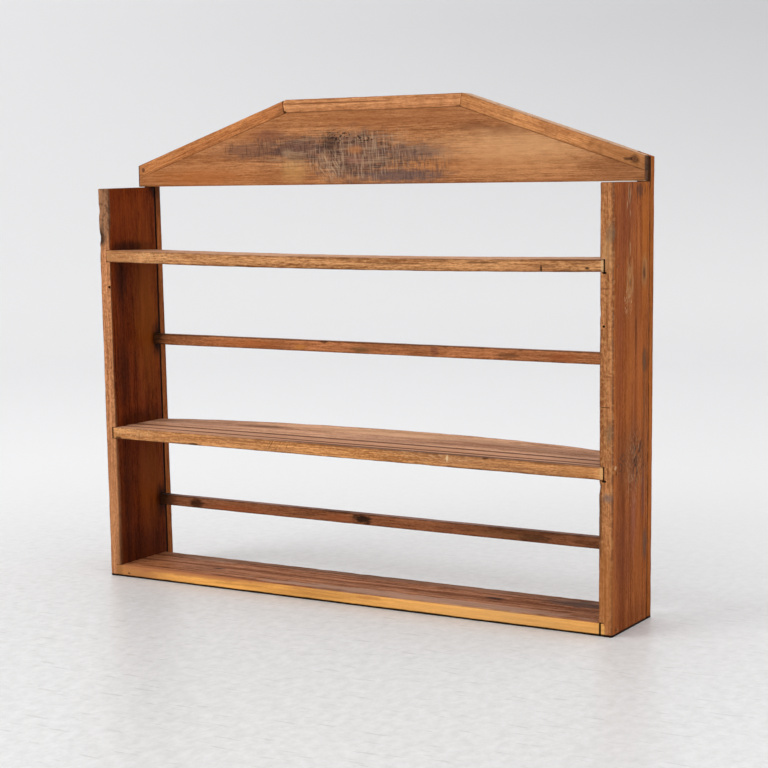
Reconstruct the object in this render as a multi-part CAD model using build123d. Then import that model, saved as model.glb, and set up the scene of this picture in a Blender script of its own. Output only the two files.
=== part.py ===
import os
from math import atan2, cos, degrees, sin, sqrt, tan

from build123d import *

# Old plate rack of hand-planed pine boards, housed and nailed together.
# +X runs to the right seen from the front, +Y to the wall, +Z up.
# The origin lies on the floor, under the middle of the rack's width and depth.

# Carcass
rack_width = 1100.0
side_height = 781.0
side_depth = 152.0
side_thickness = 25.5
post_thickness = 19.0
arris_radius = 2.0

# Shelves. The housings were cut by hand, so most shelves lie a little lower on the right.
shelf_depth = 149.0
housing_depth = 10.0
housing_headroom = 1.2
shelf_end_gap = 1.5
top_shelf_thickness = 20.0
top_shelf_left_height = 635.5
top_shelf_right_height = 631.0
top_shelf_sag = 5.0
middle_shelf_thickness = 23.0
middle_shelf_left_height = 281.5
middle_shelf_right_height = 273.8
middle_shelf_cup = 13.5
bottom_shelf_thickness = 23.5

# Plate grooves, measured back from the shelf's front edge
groove_width = 9.0
groove_depth = 2.5
middle_groove_setbacks = (28.0, 61.0)
bottom_groove_setbacks = (76.0,)

# Plate rails
rail_height = 22.0
rail_thickness = 18.0
rail_arris_radius = 1.5
rail_notch_depth = 14.0
rail_end_gap = 1.0
rail_play = 0.3
upper_rail_left_height = 460.6
upper_rail_right_height = 457.8
lower_rail_left_height = 126.0
lower_rail_right_height = 122.8

# Pediment and the cap strips on its upper edges
pediment_thickness = 18.0
pediment_gap = 2.5
pediment_end_height = 44.5
pediment_rise = 120.0
pediment_flat_width = 386.0
cap_thickness = 25.0
mitre_gap = 0.6
post_clearance = 0.2

# Nails: square forged shanks with flat eight-sided heads, driven flush.
# Those in the outer faces of the sides have small heads, which hardly show.
nail_shank = 3.6
nail_tip = 1.2
nail_head_sides = 8
nail_head_radius = 4.5
nail_head_thickness = 1.4
shelf_nail_shank = 3.0
shelf_nail_head_radius = 2.5
shelf_nail_length = 60.0
shelf_nail_setbacks = (16.0, 124.0)
post_nail_length = 55.0
post_nail_count = 5
post_nail_margin = 65.0
rail_nail_length = 33.0
pediment_nail_length = 34.0
pediment_nail_height = 10.0
cap_nail_length = 33.0
cap_nail_insets = {"left": 8.0, "right": 19.0}
pin_shank = 2.4
pin_tip = 0.9
pin_head_radius = 2.6
pin_length = 45.0
pin_shares = (0.2, 0.8)

# How far a cutting tool runs past the face it cuts
cut_past = 1.0

# Planes and spans that several pieces share
half_width = rack_width / 2
inner_half = half_width - side_thickness
front = -(side_depth + post_thickness) / 2
side_back = front + side_depth
wall = side_back + post_thickness
pediment_front = side_back - pediment_thickness
shelf_half = inner_half + housing_depth - shelf_end_gap
rail_half = inner_half + rail_notch_depth - rail_end_gap
rail_setback = side_depth - rail_thickness
hands = {"left": -1, "right": 1}


def box_between(low, high):
    size = [b - a for a, b in zip(low, high)]
    return Pos(*low) * Box(*size, align=(Align.MIN, Align.MIN, Align.MIN))


def upright(points, y_near, y_far):
    # Board cut to an outline seen from the front
    outline = Plane.XZ * make_face(Polyline(*points, close=True))
    return extrude(Pos(0, y_near, 0) * outline, amount=y_far - y_near, dir=(0, 1, 0))


def cross_frame(left_height, right_height):
    # Frame of a cross piece: x along it, y back from the rack's front, z up from its underside
    drop = atan2(left_height - right_height, 2 * inner_half)
    return Location((0, front, (left_height + right_height) / 2), (0, degrees(drop), 0))


# Sections of the cross pieces, drawn in depth and height

def front_edge(y_near, thickness, radius):
    # From the underside up to the top face, with both arrises rounded
    y_round = y_near + radius
    turn = radius * (1 - sqrt(0.5))
    edge = ThreePointArc((y_round, 0), (y_near + turn, turn), (y_near, radius))
    edge += Line((y_near, radius), (y_near, thickness - radius))
    upper_turn = (y_near + turn, thickness - turn)
    return edge + ThreePointArc((y_near, thickness - radius), upper_turn, (y_round, thickness))


def board_section(x, y_near, y_far, thickness, radius):
    y_round = y_near + radius
    outline = front_edge(y_near, thickness, radius)
    outline += Polyline((y_round, thickness), (y_far, thickness), (y_far, 0), (y_round, 0))
    return cross_plane(x) * make_face(outline)


def cupped_section(x, thickness, rise):
    # Flat at the front edge, and bent up to the back edge
    y_middle = (arris_radius + shelf_depth) / 2
    outline = front_edge(0, thickness, arris_radius)
    outline += Bezier((arris_radius, thickness), (y_middle, thickness), (shelf_depth, thickness + rise))
    outline += Line((shelf_depth, thickness + rise), (shelf_depth, rise))
    outline += Bezier((shelf_depth, rise), (y_middle, 0), (arris_radius, 0))
    return cross_plane(x) * make_face(outline)


def groove_section(x, setback, thickness, rise=0.0):
    slope = groove_width / 2 / groove_depth
    half_mouth = slope * (groove_depth + cut_past)
    corners = [
        (setback - half_mouth, thickness + rise + cut_past),
        (setback, thickness + rise - groove_depth),
        (setback + half_mouth, thickness + rise + cut_past),
    ]
    return cross_plane(x) * make_face(Polyline(*corners, close=True))


def cross_plane(x):
    return Plane(origin=(x, 0, 0), x_dir=(0, 1, 0), z_dir=(1, 0, 0))


def along(section_at, half_length):
    # Straight length of one section, centred on the rack
    return extrude(section_at(-half_length), amount=2 * half_length, dir=(1, 0, 0))


# Shelves in their own frames

def sagging_shelf(thickness, sag):
    # The underside meets the housing floors at the side boards and hangs below them at mid span
    bend_radius = (inner_half ** 2 + sag ** 2) / (2 * sag)
    end_lift = bend_radius - sag - sqrt(bend_radius ** 2 - shelf_half ** 2)
    end_top = end_lift + thickness
    outline = ThreePointArc((-shelf_half, end_lift), (0, -sag), (shelf_half, end_lift))
    outline += Line((shelf_half, end_lift), (shelf_half, end_top))
    outline += ThreePointArc((shelf_half, end_top), (0, thickness - sag), (-shelf_half, end_top))
    outline += Line((-shelf_half, end_top), (-shelf_half, end_lift))
    shelf = extrude(Plane.XZ * make_face(outline), amount=shelf_depth, dir=(0, 1, 0))
    front_arrises = shelf.faces().sort_by(Axis.Y)[0].edges().filter_by(GeomType.CIRCLE)
    return fillet(front_arrises, arris_radius)


def cupped_shelf(thickness, cup, setbacks):
    # The housings hold the ends flat; between them the back edge has risen in a shallow arch
    stations = [inner_half * share for share in (-1.0, -0.5, 0.0, 0.5, 1.0)]
    rises = [cup * (1 - (x / inner_half) ** 2) for x in stations]
    shelf = loft([cupped_section(x, thickness, rise) for x, rise in zip(stations, rises)])
    for start, end in ((-shelf_half, -inner_half), (inner_half, shelf_half)):
        tongue = board_section(start, 0, shelf_depth, thickness, arris_radius)
        shelf += extrude(tongue, amount=end - start, dir=(1, 0, 0))
    for setback in setbacks:
        depth_share = (setback - arris_radius) / (shelf_depth - arris_radius)
        cutters = []
        for x, rise in zip(stations, rises):
            cutters.append(groove_section(x, setback, thickness, rise * depth_share ** 2))
        shelf -= loft(cutters)
        for start, end in ((-shelf_half - cut_past, -inner_half), (inner_half, shelf_half + cut_past)):
            shelf -= extrude(groove_section(start, setback, thickness), amount=end - start, dir=(1, 0, 0))
    return shelf


def flat_shelf(thickness, setbacks):
    shelf = along(lambda x: board_section(x, 0, shelf_depth, thickness, arris_radius), shelf_half)
    for setback in setbacks:
        shelf -= along(lambda x: groove_section(x, setback, thickness), shelf_half + cut_past)
    return shelf


def shelf_housing(hand, thickness):
    x_low, x_high = sorted((hand * (inner_half - cut_past), hand * (inner_half + housing_depth)))
    height = thickness + housing_headroom
    return box_between((x_low, -cut_past, 0), (x_high, side_depth + cut_past, height))


def plate_rail():
    y_back = rail_setback + rail_thickness

    def section(x):
        return board_section(x, rail_setback, y_back, rail_height, rail_arris_radius)

    return along(section, rail_half)


def rail_notch(hand):
    x_low, x_high = sorted((hand * (inner_half - cut_past), hand * (inner_half + rail_notch_depth)))
    y_low = rail_setback - rail_play
    return box_between((x_low, y_low, 0), (x_high, side_depth + cut_past, rail_height + rail_play))


# Nails, pointing along +Z from their heads

def forged_nail(shank, tip, head_radius, length):
    head = extrude(RegularPolygon(head_radius, nail_head_sides), amount=nail_head_thickness)
    root = Pos(0, 0, nail_head_thickness) * Rectangle(shank, shank)
    return head + loft([root, Pos(0, 0, length) * Rectangle(tip, tip)])


def driven(nail, point, direction, side_way):
    return Plane(origin=point, x_dir=side_way, z_dir=direction).location * nail


# Heights and frames of the cross pieces
top_frame = cross_frame(top_shelf_left_height, top_shelf_right_height)
middle_frame = cross_frame(middle_shelf_left_height, middle_shelf_right_height)
bottom_frame = cross_frame(0, 0)
upper_rail_frame = cross_frame(upper_rail_left_height, upper_rail_right_height)
lower_rail_frame = cross_frame(lower_rail_left_height, lower_rail_right_height)
shelf_seats = [
    (top_frame, top_shelf_thickness),
    (middle_frame, middle_shelf_thickness),
    (bottom_frame, bottom_shelf_thickness),
]

shelf_top = top_frame * sagging_shelf(top_shelf_thickness, top_shelf_sag)
shelf_middle = middle_frame * cupped_shelf(
    middle_shelf_thickness, middle_shelf_cup, middle_groove_setbacks
)
shelf_bottom = bottom_frame * flat_shelf(bottom_shelf_thickness, bottom_groove_setbacks)
plate_rail_upper = upper_rail_frame * plate_rail()
plate_rail_lower = lower_rail_frame * plate_rail()

# Pediment outline: level foot, upright ends, two slopes and a flat top
foot_height = side_height + pediment_gap
end_height = foot_height + pediment_end_height
top_height = end_height + pediment_rise
flat_half = pediment_flat_width / 2
slope_angle = atan2(pediment_rise, half_width - flat_half)
board_end_height = end_height - cap_thickness / cos(slope_angle)
board_top_height = top_height - cap_thickness
mitre_x = flat_half - cap_thickness * tan(slope_angle / 2)

pediment_board = upright(
    [
        (-half_width, foot_height),
        (half_width, foot_height),
        (half_width, board_end_height),
        (mitre_x, board_top_height),
        (-mitre_x, board_top_height),
        (-half_width, board_end_height),
    ],
    pediment_front,
    side_back,
)
cap_strip_top = upright(
    [
        (mitre_gap - flat_half, top_height),
        (flat_half - mitre_gap, top_height),
        (mitre_x - mitre_gap, board_top_height),
        (mitre_gap - mitre_x, board_top_height),
    ],
    pediment_front,
    wall,
)


def post_outline(hand):
    # The head follows the slope of the cap strip beside it
    inner_height = end_height + side_thickness * tan(slope_angle)
    return [
        (hand * inner_half, 0),
        (hand * half_width, 0),
        (hand * half_width, end_height),
        (hand * inner_half, inner_height),
    ]


def sloped_cap(hand):
    # From the mitre down to the rack's end, notched at the back round the post's head
    strip = upright(
        [
            (hand * flat_half, top_height),
            (hand * half_width, end_height),
            (hand * half_width, board_end_height),
            (hand * mitre_x, board_top_height),
        ],
        pediment_front,
        wall,
    )
    x_low, x_high = sorted((hand * (inner_half - post_clearance), hand * (half_width + cut_past)))
    notch = box_between((x_low, side_back, foot_height), (x_high, wall + cut_past, top_height))
    return strip - notch


def side_board(hand):
    x_low, x_high = sorted((hand * inner_half, hand * half_width))
    board = box_between((x_low, front, 0), (x_high, side_back, side_height))
    front_arrises = board.faces().sort_by(Axis.Y)[0].edges().filter_by(Axis.Z)
    board = fillet(front_arrises, arris_radius)
    for frame, thickness in shelf_seats:
        board -= frame * shelf_housing(hand, thickness)
    for frame in (upper_rail_frame, lower_rail_frame):
        board -= frame * rail_notch(hand)
    return board


# Nail groups, one solid for each nail
nail_kinds = {
    "shelf": forged_nail(shelf_nail_shank, nail_tip, shelf_nail_head_radius, shelf_nail_length),
    "post": forged_nail(nail_shank, nail_tip, nail_head_radius, post_nail_length),
    "rail": forged_nail(nail_shank, nail_tip, nail_head_radius, rail_nail_length),
    "pediment": forged_nail(nail_shank, nail_tip, nail_head_radius, pediment_nail_length),
    "cap": forged_nail(nail_shank, nail_tip, nail_head_radius, cap_nail_length),
    "pin": forged_nail(pin_shank, pin_tip, pin_head_radius, pin_length),
}


def shelf_nails(hand):
    # From the outer face of the side into the end grain of each shelf
    nails = []
    for frame, thickness in shelf_seats:
        for setback in shelf_nail_setbacks:
            seat = (frame * Pos(hand * shelf_half, setback, thickness / 2)).position
            point = (hand * half_width, seat.Y, seat.Z)
            nails.append(driven(nail_kinds["shelf"], point, (-hand, 0, 0), (0, 1, 0)))
    return nails


def post_nails(hand):
    # From the wall side into the back edge of the side board
    nails = []
    spacing = (side_height - 2 * post_nail_margin) / (post_nail_count - 1)
    for index in range(post_nail_count):
        point = (hand * (half_width - side_thickness / 2), wall, post_nail_margin + index * spacing)
        nails.append(driven(nail_kinds["post"], point, (0, -1, 0), (1, 0, 0)))
    return nails


def rail_nails():
    # From the wall side, through the posts, into the rail ends
    nails = []
    for frame in (upper_rail_frame, lower_rail_frame):
        for hand in hands.values():
            x_seat = hand * (inner_half + rail_notch_depth / 2)
            seat = (frame * Pos(x_seat, 0, rail_height / 2)).position
            nails.append(driven(nail_kinds["rail"], (seat.X, wall, seat.Z), (0, -1, 0), (1, 0, 0)))
    return nails


def pediment_nails():
    # From the wall side, through the posts, into the back of the pediment
    nails = []
    for hand in hands.values():
        point = (hand * (half_width - side_thickness / 2), wall, foot_height + pediment_nail_height)
        nails.append(driven(nail_kinds["pediment"], point, (0, -1, 0), (1, 0, 0)))
    return nails


def cap_end_nails():
    # From the front, through the foot of each sloped strip, into the post's head
    nails = []
    for name, hand in hands.items():
        inset = cap_nail_insets[name]
        rise = inset * tan(slope_angle) - cap_thickness / 2 / cos(slope_angle)
        point = (hand * (half_width - inset), pediment_front, end_height + rise)
        nails.append(driven(nail_kinds["cap"], point, (0, 1, 0), (1, 0, 0)))
    return nails


def cap_strip_pins():
    # Down through the strips, square to them, into the pediment's upper edges
    y_pin = (pediment_front + side_back) / 2
    pins = []
    for share in pin_shares:
        point = ((2 * share - 1) * flat_half, y_pin, top_height)
        pins.append(driven(nail_kinds["pin"], point, (0, 0, -1), (0, 1, 0)))
        for hand in hands.values():
            x_pin = flat_half + share * (half_width - flat_half)
            point = (hand * x_pin, y_pin, top_height - share * pediment_rise)
            inward = (-hand * sin(slope_angle), 0, -cos(slope_angle))
            pins.append(driven(nail_kinds["pin"], point, inward, (0, 1, 0)))
    return pins


def without(board, *groups):
    # The nails fill the holes that they made
    for group in groups:
        for nail in group:
            board -= nail
    return board


rail_nail_group = rail_nails()
pediment_nail_group = pediment_nails()
cap_nail_group = cap_end_nails()
pin_group = cap_strip_pins()
shelf_nail_groups = {name: shelf_nails(hand) for name, hand in hands.items()}
post_nail_groups = {name: post_nails(hand) for name, hand in hands.items()}
all_shelf_nails = shelf_nail_groups["left"] + shelf_nail_groups["right"]

pieces = {
    "shelf_top": without(shelf_top, all_shelf_nails),
    "shelf_middle": without(shelf_middle, all_shelf_nails),
    "shelf_bottom": without(shelf_bottom, all_shelf_nails),
    "plate_rail_upper": without(plate_rail_upper, rail_nail_group),
    "plate_rail_lower": without(plate_rail_lower, rail_nail_group),
    "pediment_board": without(pediment_board, pediment_nail_group, pin_group),
    "cap_strip_top": without(cap_strip_top, pin_group),
    "rail_nails": Compound(rail_nail_group),
    "pediment_nails": Compound(pediment_nail_group),
    "cap_end_nails": Compound(cap_nail_group),
    "cap_strip_pins": Compound(pin_group),
}
for name, hand in hands.items():
    own_shelf_nails = shelf_nail_groups[name]
    own_post_nails = post_nail_groups[name]
    post = upright(post_outline(hand), side_back, wall)
    pieces["side_board_" + name] = without(side_board(hand), own_shelf_nails, own_post_nails)
    pieces["rear_post_" + name] = without(
        post, own_post_nails, rail_nail_group, pediment_nail_group, cap_nail_group
    )
    pieces["cap_strip_" + name] = without(sloped_cap(hand), cap_nail_group, pin_group)
    pieces["shelf_nails_" + name] = Compound(own_shelf_nails)
    pieces["post_nails_" + name] = Compound(own_post_nails)

os.makedirs("parts", exist_ok=True)
for name, piece in pieces.items():
    export_step(piece, "parts/" + name + ".step")
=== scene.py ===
import math

import bpy
from mathutils import Matrix, Vector, noise


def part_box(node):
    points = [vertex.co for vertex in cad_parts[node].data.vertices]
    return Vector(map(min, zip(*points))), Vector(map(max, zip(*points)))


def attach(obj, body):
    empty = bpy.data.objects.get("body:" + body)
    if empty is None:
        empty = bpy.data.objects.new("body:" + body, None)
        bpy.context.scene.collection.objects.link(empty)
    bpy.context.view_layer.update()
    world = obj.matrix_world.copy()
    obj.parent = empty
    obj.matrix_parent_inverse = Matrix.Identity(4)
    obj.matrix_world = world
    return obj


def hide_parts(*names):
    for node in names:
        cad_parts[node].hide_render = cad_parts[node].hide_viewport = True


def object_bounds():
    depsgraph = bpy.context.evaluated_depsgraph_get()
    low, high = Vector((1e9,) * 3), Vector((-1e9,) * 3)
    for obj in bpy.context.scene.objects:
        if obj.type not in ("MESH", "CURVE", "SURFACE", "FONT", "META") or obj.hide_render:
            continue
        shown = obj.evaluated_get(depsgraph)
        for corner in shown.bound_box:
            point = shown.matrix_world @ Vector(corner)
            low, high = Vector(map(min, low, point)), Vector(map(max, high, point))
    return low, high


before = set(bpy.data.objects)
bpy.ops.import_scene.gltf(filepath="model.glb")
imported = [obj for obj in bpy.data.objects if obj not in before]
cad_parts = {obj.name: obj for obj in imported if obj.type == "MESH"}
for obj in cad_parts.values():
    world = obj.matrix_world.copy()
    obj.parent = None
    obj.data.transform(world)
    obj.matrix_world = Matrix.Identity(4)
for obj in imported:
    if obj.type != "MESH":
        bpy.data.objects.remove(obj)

cadLow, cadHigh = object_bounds()
mm = 0.001
touch = 0.1    # a vertex this near to a plane lies on it
clear = 1.0    # cutters, and tests for a whole end, reach this far past a face
print("frame loaded:", len(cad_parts), "nodes")

# Places that several boards share, in millimetres
halfWidth = cadHigh.x / mm
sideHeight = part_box("side_board_left")[1].z / mm
frontY = cadLow.y / mm
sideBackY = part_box("side_board_left")[1].y / mm
wallY = cadHigh.y / mm
innerHalf = -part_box("side_board_left")[1].x / mm
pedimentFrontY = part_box("pediment_board")[0].y / mm

# Underside heights at the left and right side, as the housings were cut.
# The top shelf has swollen along its front edge, by these lifts at its left and right
flat = dict(left=0.0, right=0.0)
shelfSeats = {
    "shelf_top": dict(left=635.5, right=631.0, thick=20.0, lift=dict(left=4.0, right=2.0)),
    "shelf_middle": dict(left=281.5, right=273.8, thick=23.0, lift=flat),
    "shelf_bottom": dict(left=0.0, right=0.0, thick=23.5, lift=flat),
}
railSeats = {
    "plate_rail_upper": dict(left=460.6, right=457.8, thick=22.0),
    "plate_rail_lower": dict(left=126.0, right=122.8, thick=22.0),
}
hands = {"left": -1, "right": 1}


# Mesh tools

def startBoard(name, low, high):
    # A cube at the board's own size and place, both kept in its mesh
    bpy.ops.object.select_all(action="DESELECT")
    centre = [(a + b) / 2 * mm for a, b in zip(low, high)]
    size = [(b - a) * mm for a, b in zip(low, high)]
    bpy.ops.mesh.primitive_cube_add(size=1, location=centre, scale=size)
    board = bpy.context.object
    board.name = name
    bpy.ops.object.transform_apply(location=True, rotation=True, scale=True)
    return board


def makeActive(board):
    bpy.ops.object.select_all(action="DESELECT")
    board.select_set(True)
    bpy.context.view_layer.objects.active = board


def pick(board, kind, test, along=None):
    # Selects what lies wholly where the test says, and stays in edit mode
    makeActive(board)
    bpy.ops.object.mode_set(mode="EDIT")
    bpy.ops.mesh.select_mode(type=kind)
    bpy.ops.mesh.select_all(action="DESELECT")
    bpy.ops.object.mode_set(mode="OBJECT")
    mesh = board.data
    good = [test(v.co / mm) for v in mesh.vertices]
    if kind == "VERT":
        for vertex in mesh.vertices:
            vertex.select = good[vertex.index]
    else:
        for item in mesh.edges if kind == "EDGE" else mesh.polygons:
            item.select = all(good[i] for i in item.vertices)
    if along is not None:
        for edge in mesh.edges:
            a, b = (mesh.vertices[i].co for i in edge.vertices)
            edge.select = edge.select and abs((b - a).normalized()[along]) > 0.9
    bpy.ops.object.mode_set(mode="EDIT")


def moveCorners(board, test, shift):
    pick(board, "VERT", test)
    bpy.ops.transform.translate(value=[s * mm for s in shift])
    bpy.ops.object.mode_set(mode="OBJECT")


def roundEdges(board, test, width, along=None, segments=3):
    pick(board, "EDGE", test, along)
    bpy.ops.mesh.bevel(offset=width * mm, segments=segments, profile=0.5, affect="EDGES")
    bpy.ops.object.mode_set(mode="OBJECT")


def cutAcross(board, axis, places):
    makeActive(board)
    bpy.ops.object.mode_set(mode="EDIT")
    for place in places:
        spot = [0, 0, 0]
        spot[axis] = place * mm
        bpy.ops.mesh.select_all(action="SELECT")
        bpy.ops.mesh.bisect(plane_co=spot, plane_no=[float(i == axis) for i in range(3)])
    bpy.ops.object.mode_set(mode="OBJECT")


def cutGrid(board, steps):
    # Even cuts each way, so that wear and sag have vertices to move
    for axis, step in enumerate(steps):
        spread = [v.co[axis] / mm for v in board.data.vertices]
        low, high = min(spread), max(spread)
        count = max(1, round((high - low) / step))
        cutAcross(board, axis, [low + (high - low) * i / count for i in range(1, count)])


def takeAway(board, cutter):
    makeActive(board)
    cut = board.modifiers.new("cut", "BOOLEAN")
    cut.operation = "DIFFERENCE"
    cut.solver = "EXACT"
    cut.object = cutter
    bpy.ops.object.modifier_apply(modifier=cut.name)
    bpy.data.objects.remove(cutter)


def cutBox(board, low, high):
    takeAway(board, startBoard("cutter", low, high))


def boreHole(board, spot, radius, depth, taper=0.7, turn=0.2):
    # A round hole from the front, with a slightly uneven rim
    bpy.ops.object.select_all(action="DESELECT")
    bpy.ops.mesh.primitive_cone_add(
        vertices=11, radius1=radius * mm, radius2=radius * taper * mm, depth=2 * depth * mm,
        location=[s * mm for s in spot], rotation=(-math.pi / 2, 0, turn))
    takeAway(board, bpy.context.object)


def push(board, weightOf, distance, direction="NORMAL"):
    # Moves the vertices by their weight
    group = board.vertex_groups.new(name="push")
    for vertex in board.data.vertices:
        weight = weightOf(vertex.co / mm)
        if weight > 0:
            group.add([vertex.index], min(weight, 1.0), "REPLACE")
    makeActive(board)
    shift = board.modifiers.new("push", "DISPLACE")
    shift.vertex_group = group.name
    shift.strength = distance * mm
    shift.mid_level = 0
    shift.direction = direction
    bpy.ops.object.modifier_apply(modifier=shift.name)
    board.vertex_groups.clear()


def dent(board, spot, radius, depth, curve=0.7):
    centre = Vector(spot)
    push(board, lambda p: max(0.0, 1 - (p - centre).length / radius) ** curve, -depth)


def arrisGap(p, low, high):
    # Distance along the surface from the nearest arris of a box-shaped board
    return sorted(min(c - a, b - c) for c, a, b in zip(p, low, high))[1]


def wearBoard(board, low, high, look, level=lambda p: p, endReach=50.0, knockBase=0.25, knockGain=1.5):
    # Marks how near the arrises are, rubs them back unevenly and leaves the faces a little wavy.
    # The ends along the grain sit in housings or are sawn, and stay sharp
    along = 2 if look.get("grain") == "z" else 0
    low = [c - endReach * (i == along) for i, c in enumerate(low)]
    high = [c + endReach * (i == along) for i, c in enumerate(high)]
    layer = board.data.attributes.new("arris", "FLOAT", "POINT")
    for vertex in board.data.vertices:
        gap = max(0.0, arrisGap(level(vertex.co / mm), low, high))
        layer.data[vertex.index].value = max(0.0, 1 - gap / look["reach"])
    seed = Vector((look["seed"] * 137.0, look["seed"] * 71.0, look["seed"] * 29.0))

    def knocked(p):
        near = max(0.0, 1 - arrisGap(level(p), low, high) / look["reach"])
        return near * max(0.0, knockBase + knockGain * noise.noise((p + seed) / look["knock"]))

    def planed(p):
        return 0.5 + 0.5 * noise.noise((p + seed) / look["wave"])

    push(board, knocked, -look["wear"])
    push(board, planed, -look["planing"])


def heightShare(p):
    # 0 at the left side, 1 at the right
    return min(1.0, max(0.0, (p.x + innerHalf) / (2 * innerHalf)))


def spanBow(p):
    # 0 at the housings, 1 at mid span
    return max(0.0, 1 - (p.x / innerHalf) ** 2)


cupGain = 1.1    # keeps cupBow's value under 1, and is made good in the cup's height


def cupBow(p, lean=0.2, fullness=0.35):
    # The same, fuller towards the right end
    share = p.x / innerHalf
    return spanBow(p) * (1 + lean * share + fullness * share ** 2) / cupGain


def finishPiece(piece, node, material, smoothBelow=38):
    piece.data.materials.clear()
    piece.data.materials.append(material)
    makeActive(piece)
    bpy.ops.object.shade_smooth_by_angle(angle=math.radians(smoothBelow))
    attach(piece, "root")
    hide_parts(node)


# Material tools

def hexColour(code):
    # sRGB hex to linear
    parts = [int(code[i:i + 2], 16) / 255 for i in (0, 2, 4)]
    linear = [p / 12.92 if p <= 0.04045 else ((p + 0.055) / 1.055) ** 2.4 for p in parts]
    return (*linear, 1.0)


def addNode(tree, kind, links, stops=(), **settings):
    node = tree.nodes.new("ShaderNode" + kind)
    for key, value in settings.items():
        setattr(node, key, value)
    for socket, source in links.items():
        if isinstance(source, bpy.types.NodeSocket):
            tree.links.new(source, node.inputs[socket])
        else:
            node.inputs[socket].default_value = source
    if stops:
        elements = node.color_ramp.elements
        while len(elements) < len(stops):
            elements.new(0.5)
        for element, (place, tint) in zip(elements, stops):
            element.position = place
            element.color = tint
    return node


def perMetre(*sizes):
    # Pattern scale of features with these sizes in millimetres
    return tuple(1 / (s * mm) for s in sizes)


pineBasics = dict(
    grain="x",            # the axis that the board was sawn along
    lean=0.0,             # turn of the grain along a sloping strip
    shift=(0, 0, 0),      # moves the pattern, so that no two boards match
    drift=(420, 80, 4),   # length and width of the bends in the grain, and how far they go
    # Length, two widths and share of the streaks, from slow bands down to flecks
    layers=((520, 24, 24, 0.6), (180, 3, 3, 0.9), (24, 1.6, 1.6, 1.3), (6, 2.4, 2.4, 0.8)),
    lines=(160, 2.2, 0.25), lineTone="4a2410",
    ringGap=11.0, ringShare=0.12,    # growth rings as they surface on a flat-sawn face
    pith=(30, -70),       # where the heart of the tree lay, across and below the board
    spread=1.0,           # how far the streaks leave the middle tone
    patch=(170, 34), patchTone="8a4a2a", patchAmount=0.3,    # clouds of another tone
    wearGrit=16.0,        # size of the specks in the rubbed arrises
    rough=(0.5, 0.68),
    sides=(),             # axis, direction, tone and spread of the faces that differ
)


def pineTones(code, spread):
    # Darker and redder to paler and yellower, round one middle tone
    middle = hexColour(code)
    steps = (
        (0.2, (0.58, 0.5, 0.44)),
        (0.42, (0.9, 0.88, 0.86)),
        (0.58, (1.1, 1.12, 1.14)),
        (0.8, (1.38, 1.46, 1.55)),
    )
    return [(place, [m * (1 + spread * (s - 1)) for m, s in zip(middle, shares)] + [1.0])
            for place, shares in steps]


def mark(at, size, tone, strength, ragged=(8.0, 0.6), soft=0.4, strokes=None):
    # A knot, stain or scuff, or a patch of painted shade or highlight: place and reach in millimetres, tone
    # and density, grain and tear of its outline, width of its fade, and size and turn of the strokes that
    # fill it, if any
    return dict(at=at, size=size, tone=tone, strength=strength, ragged=ragged, soft=soft, strokes=strokes)


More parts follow.
